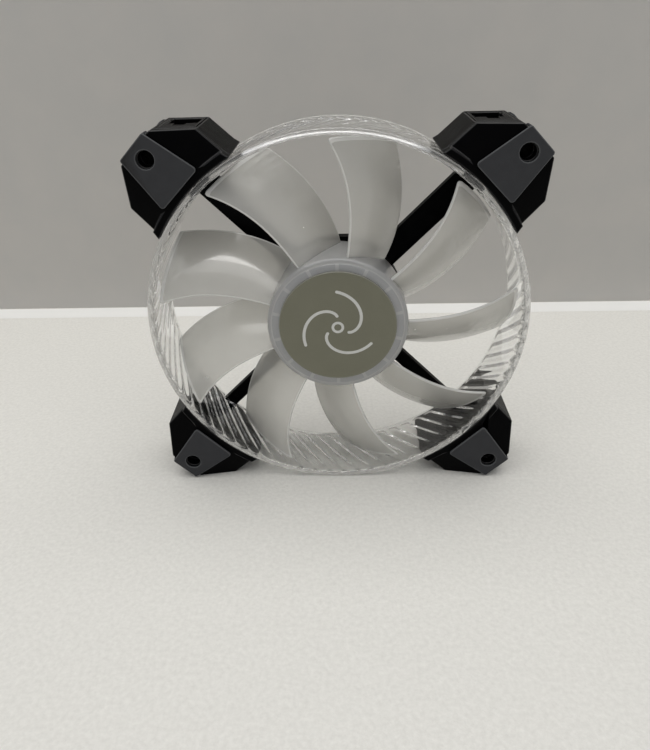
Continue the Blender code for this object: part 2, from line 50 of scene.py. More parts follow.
# Duct ring
RING_R = 59.8
RING_BORE_R = 57.6
RING_FRONT = -11.8
RING_BACK = 12.2
RIBS = 72
RIB_LEAN = 0.75          # sideways travel of a rib for each mm of depth
POCKET_DEPTH = 0.45
POCKET_WIDTH = 4.05      # square to the rib
POCKET_SLOPE = 2.0       # how far in from its outline a pocket reaches its full depth
POCKET_RUN_OUT = (5.0, 1.3)     # length over which a pocket fades out to the front, and to the rear
RIM_BAND = 1.3           # plain band at each rim
LIP = 1.15               # width of the flat face of a rim
FRONT_FLARE = 3.4        # length over which the bore widens to the lip
REAR_FLARE = 2.2
RIM_FACE = 0.3           # depth of the satin face of a rim
RIM_ROUND = 0.22         # radius of a rim's outer edge
RIB_STEPS = 16           # columns of points from one rib to the next
RIM_ROWS = (0.25, 0.6, 1.0)         # rows of points in the plain band, from the rim
FADE_START = RIM_BAND + 0.2         # close rows where the pockets fade out, from the rim
FADE_STEP = 0.32
FADE_ROWS = 9
MIDDLE_GAP = 0.9         # from the last of the close rows to the wide ones between
MIDDLE_ROWS = 9
RING_CREASE = 60         # degrees above which an edge of the ring stays sharp
NOTCH_HALF = (4.3, 4.3, 2.6, 2.6)       # half width of the notch for each corner's strut
NOTCH_FRONT = 8.6        # the notches are open to the rear from this depth
NOTCH_SPAN = (50, 66)    # along the diagonal, from inside the ring's wall to outside it

# Rotor
HUB_R = 22.4
HUB_FRONT = -10.9
HUB_BACK = 6.2
HUB_WALL = 1.6
HUB_STEP = 0.15          # how far the hub's outer band is set back
HUB_STEP_R = 20.7        # where the step down to it starts
HUB_ROUND = 0.85         # radius of the hub's front edge
HUB_MOUTH_ROUND = 0.3    # radius of the two edges at its open end
HUB_TICKS = 14           # pale ribs that show through the hub's front
TICK_SHARE = (0.44, 0.56)           # where a rib starts and ends in its part of the circle
TICK_BAND = (0.0184, 0.0209)        # inner and outer radius of the ribs, in metres
STEP_BAND = (0.0209, 0.0213)        # pale line around them, in metres
BADGE_R = 18.65
BADGE_FACE = -11.64
BADGE_BACK = -10.93
BADGE_RIM = 0.22         # width of the badge's bright rim
# Section of that rim, as radius and depth from BADGE_R and BADGE_FACE
RIM_CREST = ((-BADGE_RIM, -0.01), (-0.16, -0.03), (-0.06, 0.0), (0.0, 0.1))
MARK_ARMS = 3
MARK_STEPS = 24
MARK_SWEEP = 118         # degrees that an arm turns through
MARK_START_R = 3.9
MARK_GROWTH = 8.2        # from the start of an arm to its end, away from the axis
MARK_WIDTH = 0.95
MARK_RING_R = (1.15, 2.0)
MARK_DEPTHS = (-0.035, 0.2)         # from the badge's face
BLADES = 9
BLADE_TIP_R = 56.8
BLADE_ROOT_R = 21.5      # inside the hub's wall
BLADE_FRONT = -9.2
BLADE_BACK = 5.0
BLADE_CAMBER = 0.35      # share of a blade's depth that grows with the chord share squared
BLADE_TURN = 3.0         # degrees by which the wheel and its mark are turned at rest
SWEEP_R = 30             # radius from which the sweep of a blade's edges is reckoned
LEAD_SWEEP = (40, 0.125, 0.0087)    # front edge: degrees at SWEEP_R, per mm, per square mm
TRAIL_SWEEP = (9.8, 0.72)           # rear edge: degrees at SWEEP_R, per mm
ROOT_THICKNESS = 1.5
TIP_THINNING = 0.4       # how much thinner a blade is at its tip
EDGE_SHARE = 0.55        # share of the thickness that is left at the rear edge
MIDDLE_SHARE = 0.45      # share that the thickest part of the chord adds
THICKEST_AHEAD = 0.08    # how far the thickest part lies before the middle of the chord
TIP_CORNER_SHARE = 0.08  # share of the chord over which the tip's front corner is rounded
TIP_CORNER_DEPTH = 1.5
EDGE_ROUND = 0.5         # radius of the rounding on a blade's edges
BLADE_ROWS = 16          # rows of points from the root to the tip's band of painted highlight
# Rows of points in the tip's band of painted highlight and columns at a long edge, as shares of
# length and chord
TIP_SHARES = (0.965, 0.98, 0.988, 0.993, 0.9965, 0.999, 1.0)
CHORD_END = (0.0, 0.002, 0.006, 0.013, 0.022, 0.035)
CHORD_BETWEEN = 0.93     # share of the chord between the columns of both edges
CHORD_STEPS = 26
EDGE_COLUMNS = 4         # columns of faces in the painted highlight along a side
SLOPE_STEPS = (0.01, 0.2)       # chord share and radius over which a blade's slopes are taken
BLADE_SLOT = 1           # material slots of the wheel's mesh; slot 0 is the hub
# Slot 2 is the painted highlight on the blades' tips and long edges.
HIGHLIGHT_SLOT = 2
WHEEL_CREASE = 40        # degrees
WHEEL_SIDES = 144
BADGE_SIDES = 160
MARK_RING_SIDES = 48

# Corners and rear
HOLE_PITCH = 105.0
HOLE_REACH = 3.0         # a screw hole's wall lies within this distance of its axis
HOLE_GROWTH = 1.12       # how much wider the hole is in the rubber pads
WALL_TILT = 0.3          # a face is a hole's wall when its normal has less than this along Y
HOLE_SHADE_SLOT = 2            # material slot of the painted shade on a hole's wall
PAD_TIP_REACH = 111.5    # |x| + |z| beyond which a point is at a pad's outer corners
PAD_TIP_ROUND = 0.6
CAP_EDGE = 0.35          # widths of the rounded edges; soften paints its edges lighter, a painted highlight
BLOCK_EDGE = 0.3
PAD_EDGE = 0.3
SEAT_EDGE = 0.15
SPIDER_EDGE = 0.35
KEPT_EDGE = 0.08
KEY_X = (42.7, 46.3)     # key notch in the front of a socket's mouth, on the right
KEY_Y = (-2.8, 0.9)
KEY_Z = (54.5, 61.0)
SEAM_Y = (-8.05, -7.65)  # depths of the liner between a cap and its block
SEAM_R = 60.3            # its inner edge, around the duct ring
SEAM_SPAN = (60, 30)     # degrees between which that edge runs, in the upper right corner
SEAM_STEPS = 12
SEAM_HALF = 58.9         # its outer edges, in X and in Z from the fan's axis
SEAM_INCLINE = (53.0, 31.0)         # foot of the incline up to an outer edge, as X and Z
SEAM_INCLINE_TOP = 38.4
SEAM_CHAMFER = 77.0      # its edge under the corner's chamfer, along the diagonal
SEAM_HOLE_SIDES = 24
LABEL_R = 17.0
LABEL_Y = (11.52, 11.8)  # depths of the label's faces
LABEL_SIDES = 128
LABEL_RINGS = ((0.0152, 0.0156), (0.0143, 0.01445))     # inner and outer radius, in metres
WIRES = 4
WIRE_R = 0.5
WIRE_PITCH = 1.05        # from one lead to the next
WIRE_SIDES = 10
LEAD_Y = 11.1
LEAD_START = 18.8        # distance from the fan's axis at which the leads start
LEAD_BEND_X = 44.4       # where they turn up
LEAD_TOP_Z = 49.7
LEAD_BEND_REACH = 1.76   # length of the bend on each side of its corner

# Stage
TABLE_Z = -59.94
WALL_Y = 138.0
WALL_TOP = 200.0
STAGE_HALF = 900         # half the width of the table and the backdrop
LIP_Y = (WALL_Y - 13, WALL_Y - 1)       # painted highlight along the rear edge of the table, drawn as a pale strip
LIP_RISE = 0.05

# Mesh work
WELD = 2e-6              # metres between the points of a CAD node that count as one
FLAT_ANGLE = 1.5         # degrees below which neighbouring faces are joined
BEVEL_ANGLE = 32         # degrees above which an edge is worn
KEPT_BEVEL_ANGLE = 40
LATHE_CREASE = 35        # degrees above which an edge of a turned piece stays sharp
PARALLEL = 0.99          # an edge is along Y when its direction has more than this along Y
GRAIN_DEPTH = 0.0001     # metres


# ---- Mesh helpers ----

def make(name, points, faces, material, body, smooth=True):
    """A piece from points in millimetres."""
    mesh = bpy.data.meshes.new(name)
    mesh.from_pydata([Vector(p) * MM for p in points], [], faces)
    mesh.validate()
    return place(name, mesh, material, body, smooth)


def place(name, mesh, material, body, smooth=True):
    """A piece from a mesh, riding on a body if one is given."""
    piece = bpy.data.objects.new(name, mesh)
    bpy.context.scene.collection.objects.link(piece)
    if material is not None:
        mesh.materials.clear()
        mesh.materials.append(material)
    if smooth:
        mesh.shade_smooth()
    if body is not None:
        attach(piece, body)
    return piece


def make_from_shell(name, shell, material, body, smooth=False):
    """A piece from the closed shells collected in a bmesh, which is used up."""
    bmesh.ops.recalc_face_normals(shell, faces=shell.faces)
    mesh = bpy.data.meshes.new(name)
    shell.to_mesh(mesh)
    shell.free()
    return place(name, mesh, material, body, smooth)


def tidy_normals(mesh, weld=1e-7):
    """Joins the points closer than weld, in metres, and turns all faces outwards."""
    shell = bmesh.new()
    shell.from_mesh(mesh)
    bmesh.ops.remove_doubles(shell, verts=shell.verts, dist=weld)
    bmesh.ops.recalc_face_normals(shell, faces=shell.faces)
    shell.to_mesh(mesh)
    shell.free()


def apply_modifiers(piece):
    """Turns the piece's modifiers into plain mesh."""
    bpy.context.view_layer.update()
    graph = bpy.context.evaluated_depsgraph_get()
    mesh = bpy.data.meshes.new_from_object(piece.evaluated_get(graph))
    piece.modifiers.clear()
    piece.data = mesh


def boolean(piece, tool, operation):
    """Cuts a tool away or joins it on, and removes it."""
    step = piece.modifiers.new("cut", "BOOLEAN")
    step.operation = operation
    step.solver = "MANIFOLD"
    step.object = tool
    apply_modifiers(piece)
    bpy.data.objects.remove(tool)


def grid_faces(rows, columns, wrap_rows=False, wrap_columns=False, start=0):
    """Quads over a grid of points stored row by row."""
    faces = []
    for i in range(rows if wrap_rows else rows - 1):
        for j in range(columns if wrap_columns else columns - 1):
            k = (i + 1) % rows
            m = (j + 1) % columns
            faces.append((start + i * columns + j, start + i * columns + m,
                          start + k * columns + m, start + k * columns + j))
    return faces


def lathe(name, profile, steps, material, body, closed=True):
    """A piece turned about the fan's axis from (radius, y) points."""
    points = []
    for r, y in profile:
        for j in range(steps):
            a = 2 * pi * j / steps
            points.append((r * cos(a), y, r * sin(a)))
    faces = grid_faces(len(profile), steps, closed, True)
    piece = make(name, points, faces, material, body)
    tidy_normals(piece.data)
    piece.data.set_sharp_from_angle(angle=radians(LATHE_CREASE))
    return piece


def fillet(corner, before, after, radius, steps):
    """Points that round the corner of a profile."""
    corner = Vector(corner)
    a = (Vector(before) - corner).normalized()
    b = (Vector(after) - corner).normalized()
    half = a.angle(b) / 2
    reach = radius / np.tan(half)
    centre = corner + (a + b).normalized() * radius / sin(half)
    start = corner + a * reach - centre
    end = corner + b * reach - centre
    turn = start.angle_signed(end)
    result = []
    for i in range(steps + 1):
        t = -turn * i / steps
        result.append(tuple(centre + Matrix.Rotation(t, 2) @ start))
    return result


def at_corner_tip(edge):
    """True for the edges along Y at the two outer corners of a pad."""
    start, end = (vertex.co / MM for vertex in edge.verts)
    along_y = abs((end - start).normalized().y) > PARALLEL
    return along_y and abs(start.x) + abs(start.z) > PAD_TIP_REACH


def round_edges(piece, width, segments, angle):
    """A bevel of the edges that turn by more than this angle in degrees."""
    bevel = piece.modifiers.new("edges", "BEVEL")
    bevel.width = width * MM
    bevel.segments = segments
    bevel.limit_method = "ANGLE"
    bevel.angle_limit = radians(angle)
    return bevel


def soften(name, node, width, materials, body, segments=3, tool=None, clamp=True,
           tip_round=0.0):
    """A copy of a CAD node with rounded edges, which stands for the node.

    materials is the finish of the faces and the lighter colour of the rounded edges, a painted
    highlight; tool is cut away first; clamp narrows the rounding where edges lie close together;
    tip_round rounds the outer corners of a pad.
    """
    mesh = NODES[node].data.copy()
    shell = bmesh.new()
    shell.from_mesh(mesh)
    bmesh.ops.remove_doubles(shell, verts=shell.verts, dist=WELD)
    bmesh.ops.recalc_face_normals(shell, faces=shell.faces)
    bmesh.ops.dissolve_limit(shell, angle_limit=radians(FLAT_ANGLE), verts=shell.verts,
                             edges=shell.edges)
    if tip_round:
        tips = [edge for edge in shell.edges if at_corner_tip(edge)]
        bmesh.ops.bevel(shell, geom=tips, offset=tip_round * MM, segments=4, profile=0.5,
                        affect="EDGES")
    for face in shell.faces:
        face.smooth = True
    for edge in shell.edges:
        edge.smooth = True
    shell.to_mesh(mesh)
    shell.free()
    for stale in ("custom_normal", "sharp_face", "sharp_edge"):
        if stale in mesh.attributes:
            mesh.attributes.remove(mesh.attributes[stale])
    piece = place(name, mesh, materials[0], body)
    mesh.materials.append(materials[1])
    if tool is not None:
        boolean(piece, tool, "DIFFERENCE")
    bevel = round_edges(piece, width, segments, BEVEL_ANGLE)
    # The rounded edges take the second material: a painted highlight.
    bevel.material = 1
    bevel.use_clamp_overlap = clamp
    bevel.miter_outer = "MITER_ARC"
    bevel.harden_normals = True
    bevel.loop_slide = False
    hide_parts(node)
    return piece


def from_hole(point):
    """Arm in metres from the axis of the nearest screw hole to a point."""
    half = HOLE_PITCH / 2 * MM
    x, _, z = point
    return Vector((x - (half if x > 0 else -half), 0, z - (half if z > 0 else -half)))


def darken_hole(piece):
    """Paints the wall of a screw hole a dull near-black: painted shade of the unlit bore."""
    piece.data.materials.append(HOLE_SHADE)
    for face in piece.data.polygons:
        is_wall = abs(face.normal.y) < WALL_TILT
        if is_wall and from_hole(face.center).length < HOLE_REACH * MM:
            face.material_index = HOLE_SHADE_SLOT


def widen_hole(pad):
    """Widens a pad's screw hole by HOLE_GROWTH."""
    for vertex in pad.data.vertices:
        arm = from_hole(vertex.co)
        if arm.length < HOLE_REACH * MM:
            vertex.co += arm * (HOLE_GROWTH - 1)


def on_diagonal(u, v, corner):
    """Point at u along a corner's diagonal and v across it, as X and Z; v grows anticlockwise."""
    a = radians(45 + 90 * corner)
    return (u * cos(a) - v * sin(a), u * sin(a) + v * cos(a))


# ---- Material helpers ----

def ramp(tree, source, low, high):
    """Maps a value between 0 and 1 to one between low and high."""
    node = tree.nodes.new("ShaderNodeMapRange")
    node.inputs["To Min"].default_value = low
    node.inputs["To Max"].default_value = high
    tree.links.new(source, node.inputs["Value"])
    return node.outputs["Result"]


def noise(tree, size, detail=3.0, roughness=0.55, stretch=None):
    """Noise with features about this many millimetres wide."""
    coordinates = tree.nodes.new("ShaderNodeTexCoord")
    source = coordinates.outputs["Object"]
    if stretch:
        mapping = tree.nodes.new("ShaderNodeMapping")
        mapping.inputs["Scale"].default_value = stretch
        tree.links.new(source, mapping.inputs["Vector"])
        source = mapping.outputs["Vector"]
    node = tree.nodes.new("ShaderNodeTexNoise")
    node.inputs["Scale"].default_value = 1000.0 / size
    node.inputs["Detail"].default_value = detail
    node.inputs["Roughness"].default_value = roughness
    tree.links.new(source, node.inputs["Vector"])
    return node.outputs["Fac"]


def mix_colour(tree, factor, first, second):
    """Blends two colours, each a constant or an output of another node."""
    node = tree.nodes.new("ShaderNodeMix")
    node.data_type = "RGBA"
    tree.links.new(factor, node.inputs["Factor"])
    for value, socket in ((first, node.inputs["A"]), (second, node.inputs["B"])):
        if isinstance(value, bpy.types.NodeSocket):
            tree.links.new(value, socket)
        else:
            socket.default_value = (*value, 1.0)
    return node.outputs["Result"]


def surface(name, dark, light, rough, mottle=6.0, grain=0.25, bump=0.15, stretch=None, **fixed):
    """A material whose colour drifts between dark and light, with varied gloss and a fine grain.

    rough is (smoothest, roughest); mottle and grain are sizes in millimetres; fixed gives the
    shader's constant inputs.
    """
    made = bpy.data.materials.new(name)
    made.use_nodes = True
    tree = made.node_tree
    shader = tree.nodes["Principled BSDF"]
    drift = ramp(tree, noise(tree, mottle), 0.0, 1.0)
    colour = mix_colour(tree, drift, dark, light)
    tree.links.new(colour, shader.inputs["Base Color"])
    gloss = ramp(tree, noise(tree, mottle * 0.6, detail=4.0), *rough)
    tree.links.new(gloss, shader.inputs["Roughness"])
    relief = tree.nodes.new("ShaderNodeBump")
    relief.inputs["Strength"].default_value = bump
    relief.inputs["Distance"].default_value = GRAIN_DEPTH
    tree.links.new(noise(tree, grain, detail=2.0, stretch=stretch), relief.inputs["Height"])
    tree.links.new(relief.outputs["Normal"], shader.inputs["Normal"])
    for key, value in fixed.items():
        shader.inputs[key.replace("_", " ")].default_value = value
    return made


CLEAR = surface("clear_polycarbonate", (0.955, 0.962, 0.958), (0.985, 0.988, 0.985), (0.0, 0.035),
                mottle=14, grain=3.5, bump=0.02, Transmission_Weight=1.0, IOR=1.56)
CLEAR_RIM = surface("clear_polycarbonate_rim", (0.80, 0.80, 0.79), (0.88, 0.88, 0.87), (0.10, 0.20),
                    mottle=5, grain=0.6, bump=0.1, Transmission_Weight=0.94, IOR=1.5)
MILKY = surface("milky_polycarbonate", (0.77, 0.76, 0.72), (0.83, 0.82, 0.78), (0.20, 0.30),
                mottle=9, grain=0.5, bump=0.03, Transmission_Weight=0.60, IOR=1.45,
                Coat_Weight=0.6, Coat_Roughness=0.05)
# Lighter, whiter colour for the tips and long edges of the blades: a painted highlight.
MILKY_EDGE_HIGHLIGHT = surface("milky_polycarbonate_edge_highlight", (0.90, 0.895, 0.87), (0.95, 0.945, 0.92),
                     (0.16, 0.26), mottle=5, grain=0.5, bump=0.02, Transmission_Weight=0.45,
                     IOR=1.45, Coat_Weight=0.8, Coat_Roughness=0.05)
BLACK = surface("black_nylon", (0.0010, 0.0010, 0.0012), (0.0020, 0.0020, 0.0023), (0.30, 0.44),
                mottle=5, grain=0.18, bump=0.3, Specular_IOR_Level=0.03)
# Lighter colour on the rounded edges of the black pieces: a painted highlight.
BLACK_EDGE_HIGHLIGHT = surface("black_nylon_edge_highlight", (0.0040, 0.0040, 0.0045), (0.0080, 0.0080, 0.0086),
                     (0.26, 0.40), mottle=3, grain=0.25, bump=0.2, Specular_IOR_Level=0.3)
# Painted shade for the walls of the screw holes, darker than the nylon and rubber around them.
HOLE_SHADE = surface("painted_hole_shade", (0.0008, 0.0008, 0.0009), (0.0016, 0.0016, 0.0018), (0.6, 0.75),
               mottle=3, grain=0.2, bump=0.3, Specular_IOR_Level=0.02)
RUBBER = surface("grey_rubber", (0.026, 0.027, 0.030), (0.037, 0.038, 0.042), (0.64, 0.78),
                 mottle=4, grain=0.22, bump=0.45, Specular_IOR_Level=0.3)
# Lighter colour on the rounded edges of the rubber pads: a painted highlight.
RUBBER_EDGE_HIGHLIGHT = surface("grey_rubber_edge_highlight", (0.060, 0.063, 0.066), (0.082, 0.086, 0.090),
                      (0.52, 0.68), mottle=3, grain=0.22, bump=0.35, Specular_IOR_Level=0.35)
BADGE = surface("badge_film", (0.165, 0.163, 0.118), (0.190, 0.187, 0.138), (0.32, 0.44),
                mottle=7, grain=0.16, bump=0.25, stretch=(6.0, 1.0, 0.35), Metallic=0.3)
BADGE_EDGE = surface("badge_edge", (0.24, 0.24, 0.20), (0.32, 0.32, 0.28), (0.25, 0.4),
                     mottle=3, grain=0.3, Metallic=0.4)
MARK = surface("badge_mark", (0.60, 0.60, 0.57), (0.68, 0.68, 0.65), (0.35, 0.5),
               mottle=2, grain=0.25)
STEEL = surface("steel", (0.46, 0.47, 0.49), (0.56, 0.57, 0.58), (0.22, 0.36),
                mottle=5, grain=0.3, stretch=(1.0, 8.0, 1.0), Metallic=1.0)
SILICON_STEEL = surface("silicon_steel", (0.30, 0.31, 0.33), (0.38, 0.39, 0.41), (0.36, 0.5),
                        mottle=3, grain=0.5, stretch=(0.2, 6.0, 0.2), Metallic=1.0)
BRASS = surface("brass", (0.70, 0.50, 0.22), (0.82, 0.62, 0.32), (0.26, 0.42),
                mottle=4, grain=0.3, stretch=(1.0, 6.0, 1.0), Metallic=1.0)
BRONZE = surface("sintered_bronze", (0.44, 0.29, 0.15), (0.56, 0.39, 0.23), (0.5, 0.7),
                 mottle=2, grain=0.15, bump=0.5, Metallic=1.0)
MAGNET = surface("magnet_rubber", (0.040, 0.036, 0.032), (0.060, 0.055, 0.050), (0.6, 0.78),
                 mottle=3, grain=0.2, bump=0.4)
NYLON = surface("white_nylon", (0.74, 0.73, 0.68), (0.82, 0.81, 0.76), (0.42, 0.55),
                mottle=4, grain=0.25)
COPPER = surface("enamelled_copper", (0.50, 0.18, 0.07), (0.66, 0.28, 0.12), (0.28, 0.42),
                 mottle=2, grain=0.3, bump=0.5, Metallic=0.9)
BOARD = surface("circuit_board", (0.020, 0.125, 0.055), (0.035, 0.175, 0.08), (0.38, 0.52),
                mottle=3, grain=0.4)
CHIP = surface("chip_black", (0.015, 0.015, 0.016), (0.025, 0.025, 0.026), (0.45, 0.6),
               mottle=1.5, grain=0.15, bump=0.4)
LAMP = surface("lamp_white", (0.80, 0.78, 0.55), (0.88, 0.86, 0.68), (0.3, 0.45),
               mottle=1.5, grain=0.3)
GOLD = surface("gold_plating", (0.78, 0.54, 0.20), (0.88, 0.66, 0.30), (0.2, 0.32),
               mottle=1.5, grain=0.2, Metallic=1.0)
FELT = surface("felt", (0.28, 0.26, 0.22), (0.40, 0.38, 0.33), (0.85, 0.95),
               mottle=1, grain=0.15, bump=0.8)
WIRE = surface("wire_black", (0.020, 0.020, 0.021), (0.034, 0.034, 0.035), (0.38, 0.52),
               mottle=3, grain=0.3)

# Each pair is the faces' material and the painted highlight on the rounded edges.
SHELL = (BLACK, BLACK_EDGE_HIGHLIGHT)
SOFT = (RUBBER, RUBBER_EDGE_HIGHLIGHT)


def angle_of_points(tree):
    """The angle about the fan's axis and the distance from it, in radians and metres."""
    coordinates = tree.nodes.new("ShaderNodeTexCoord")
    split = tree.nodes.new("ShaderNodeSeparateXYZ")
    tree.links.new(coordinates.outputs["Object"], split.inputs["Vector"])
    angle = math_node(tree, "ARCTAN2", split.outputs["Z"], split.outputs["X"])
    xx = math_node(tree, "MULTIPLY", split.outputs["X"], split.outputs["X"])
    zz = math_node(tree, "MULTIPLY", split.outputs["Z"], split.outputs["Z"])
    radius = math_node(tree, "SQRT", math_node(tree, "ADD", xx, zz))
    return angle, radius


def math_node(tree, operation, *values):
    node = tree.nodes.new("ShaderNodeMath")
    node.operation = operation
    for value, socket in zip(values, node.inputs):
        if isinstance(value, bpy.types.NodeSocket):
            tree.links.new(value, socket)
        else:
            socket.default_value = value
    return node.outputs[0]


def band(tree, value, low, high):
    """1 between two values and 0 outside them."""
    above = math_node(tree, "GREATER_THAN", value, low)
    below = math_node(tree, "LESS_THAN", value, high)
    return math_node(tree, "MULTIPLY", above, below)


def label_material():
    """Matt printed foil: a pale disc with two thin rings near its edge."""
    made = surface("label_paper", (0.50, 0.50, 0.48), (0.58, 0.58, 0.56), (0.5, 0.62),
                   mottle=5, grain=0.2)
    tree = made.node_tree
    shader = tree.nodes["Principled BSDF"]
    ground = shader.inputs["Base Color"].links[0].from_socket
    _, radius = angle_of_points(tree)
    outer, inner = [band(tree, radius, *ring) for ring in LABEL_RINGS]
    lines = math_node(tree, "MAXIMUM", outer, inner)
    printed = mix_colour(tree, lines, ground, (0.06, 0.06, 0.065))
    tree.links.new(printed, shader.inputs["Base Color"])
    return made


LABEL = label_material()


def hub_material():
    """Milky plastic with the steel yoke behind it, lighter over the ribs inside the hub."""
    made = surface("milky_hub", (0.63, 0.63, 0.625), (0.69, 0.69, 0.685), (0.30, 0.40),
                   mottle=9, grain=0.5, bump=0.03, Transmission_Weight=0.55, IOR=1.45,
                   Coat_Weight=0.6, Coat_Roughness=0.05)
    tree = made.node_tree
    shader = tree.nodes["Principled BSDF"]
    ground = shader.inputs["Base Color"].links[0].from_socket
    angle, radius = angle_of_points(tree)
    turns = math_node(tree, "MULTIPLY", angle, HUB_TICKS / (2 * pi))
    part = math_node(tree, "FRACT", math_node(tree, "ADD", turns, HUB_TICKS))
    tick = band(tree, part, *TICK_SHARE)
    within = band(tree, radius, *TICK_BAND)
    shaded = mix_colour(tree, within, ground, (0.60, 0.605, 0.61))
    step = band(tree, radius, *STEP_BAND)
    light = math_node(tree, "MAXIMUM", math_node(tree, "MULTIPLY", tick, within), step)
    pale = mix_colour(tree, light, shaded, (0.77, 0.77, 0.76))
    tree.links.new(pale, shader.inputs["Base Color"])
    return made


HUB = hub_material()


# ---- Duct ring ----

def pocket_depth(across, y):
    """How deep the outside of the ring is cut at the depth y.

    across is the distance from the middle line of a pocket, along the ring.
    """
    lean = atan2(RIB_LEAN, 1)
    out = abs(across) * cos(lean) - POCKET_WIDTH / 2
    front = (y - RING_FRONT - RIM_BAND) / POCKET_RUN_OUT[0]
    rear = (RING_BACK - RIM_BAND - y) / POCKET_RUN_OUT[1]
    return POCKET_DEPTH * smooth_step(-out / POCKET_SLOPE) * smooth_step(front) * smooth_step(rear)


def smooth_step(t):
    """Rises smoothly from 0 at t = 0 to 1 at t = 1."""
    t = min(max(t, 0.0), 1.0)
    return t * t * (3 - 2 * t)


def ring_rows():
    """The ring's section, once around, as (radius, y, whether the pockets cut the row).

    Outside, the rows are close together near the rims, where the pockets fade out.
    """
    front_edge = fillet((RING_R, RING_FRONT), (RING_BORE_R, RING_FRONT), (RING_R, RING_BACK),
                        RIM_ROUND, 3)
    rear_edge = fillet((RING_R, RING_BACK), (RING_R, RING_FRONT), (RING_BORE_R, RING_BACK),
                       RIM_ROUND, 3)
    near = list(RIM_ROWS) + [FADE_START + FADE_STEP * i for i in range(FADE_ROWS)]
    span = RING_BACK - RING_FRONT
    middle_start = near[-1] + MIDDLE_GAP
    middle = list(np.linspace(middle_start, span - middle_start, MIDDLE_ROWS))
    outside = near + middle + [span - depth for depth in reversed(near)]
    bore = flare(RING_BACK, -REAR_FLARE)
    bore += [(RING_BORE_R, 3.0), (RING_BORE_R, -3.0)]
    bore += reversed(flare(RING_FRONT, FRONT_FLARE))
    rows = [(r, y, False) for r, y in front_edge]
    rows += [(RING_R, RING_FRONT + depth, True) for depth in outside]
    rows += [(r, y, False) for r, y in rear_edge + bore]
    return rows


def duct_ring():
    """Clear ring with leaning pockets in its outer face, so that leaning ribs stand between."""
    rows = ring_rows()
    columns = [k + j / RIB_STEPS for k in range(RIBS) for j in range(RIB_STEPS)]
    pitch = 2 * pi * RING_R / RIBS
    points = []
    for radius, y, cut in rows:
        for u in columns:
            a = 2 * pi * u / RIBS - RIB_LEAN * y / RING_R
            r = radius
            if cut:
                r -= pocket_depth((u % 1 - 0.5) * pitch, y)
            points.append((r * cos(a), y, r * sin(a)))
    faces = grid_faces(len(rows), len(columns), True, True)
    ring = make("duct_ring", points, faces, CLEAR, None)
    ring.data.materials.append(CLEAR_RIM)
    for face in ring.data.polygons:
        y = face.center.y / MM
        at_rim = y < RING_FRONT + RIM_FACE or y > RING_BACK - RIM_FACE
        face.material_index = 1 if at_rim else 0
    tidy_normals(ring.data)
    for corner, half in enumerate(NOTCH_HALF):
        boolean(ring, notch_tool(corner, half), "DIFFERENCE")
    ring.data.shade_smooth()
    ring.data.set_sharp_from_angle(angle=radians(RING_CREASE))
    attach(ring, "frame")
    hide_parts("clear_ring")


def flare(rim_y, length, steps=8):
    """Points from the flat lip of a rim to the bore, along a quarter of an ellipse."""
    points = []
    for i in range(steps + 1):
        t = pi / 2 * i / steps
        r = RING_R - LIP - (RING_R - LIP - RING_BORE_R) * sin(t)
        points.append((r, rim_y + length * (1 - cos(t))))
    return points


def notch_tool(corner, half):
    """Box that opens the rear edge of the ring for a strut."""
    outline = [on_diagonal(u, v, corner) for u, v in rectangle(NOTCH_SPAN, (-half, half))]
    past_rim = RING_BACK + 2
    return prism("notch_tool", outline, (NOTCH_FRONT, past_rim))


def rectangle(xs, zs):
    """Outline of a rectangle between two X and two Z."""
    return [(xs[0], zs[0]), (xs[1], zs[0]), (xs[1], zs[1]), (xs[0], zs[1])]


def prism(name, outline, depths, material=None, body=None):
    """A flat shape, outlined in X and Z, between two depths."""
    shell = bmesh.new()
    add_prism(shell, outline, *depths)
    return make_from_shell(name, shell, material, body)


# ---- Rotor ----

def lead_angle(r):
    """Angle of a blade's front edge at radius r, in degrees."""
    angle, slope, curve = LEAD_SWEEP
    t = r - SWEEP_R
    return angle + slope * t + curve * t * t


def trail_angle(r):
    """Angle of a blade's rear edge at radius r, in degrees."""
    angle, slope = TRAIL_SWEEP
    return angle + slope * (r - SWEEP_R)


def blade_point(r, s):
    """Middle of a blade at radius r and chord share s, 0 at the front edge."""
    angle = radians(lead_angle(r) + (trail_angle(r) - lead_angle(r)) * s)
    depth = (1 - BLADE_CAMBER) * s + BLADE_CAMBER * s * s
    y = BLADE_FRONT + (BLADE_BACK - BLADE_FRONT) * depth
    return Vector((r * cos(angle), y, r * sin(angle)))


def blade_thickness(r, s):
    """Thickness at radius r and chord share s, most just before the middle of the chord."""
    body = ROOT_THICKNESS - TIP_THINNING * (r - HUB_R) / (BLADE_TIP_R - HUB_R)
    swell = sin(pi * min(s + THICKEST_AHEAD, 1.0)) ** 0.6
    return body * (EDGE_SHARE + MIDDLE_SHARE * swell)


def tip_radius(s):
    """The tip follows the duct, with its front corner rounded."""
    if s >= TIP_CORNER_SHARE:
        return BLADE_TIP_R
    x = 1 - s / TIP_CORNER_SHARE
    return BLADE_TIP_R - TIP_CORNER_DEPTH * (1 - sqrt(1 - x * x))


def rounding(distance):
    """Share of the thickness left at this distance from an edge."""
    if distance >= EDGE_ROUND:
        return 1.0
    x = 1 - distance / EDGE_ROUND
    return sqrt(max(1 - x * x, 0.0))


def chord_shares():
    """Chord shares of the columns of points across a blade, close together at its long edges."""
    first = CHORD_END[-1]
    shares = list(CHORD_END)
    shares += [first + CHORD_BETWEEN * i / CHORD_STEPS for i in range(1, CHORD_STEPS)]
    shares += [1 - share for share in reversed(CHORD_END)]
    return shares


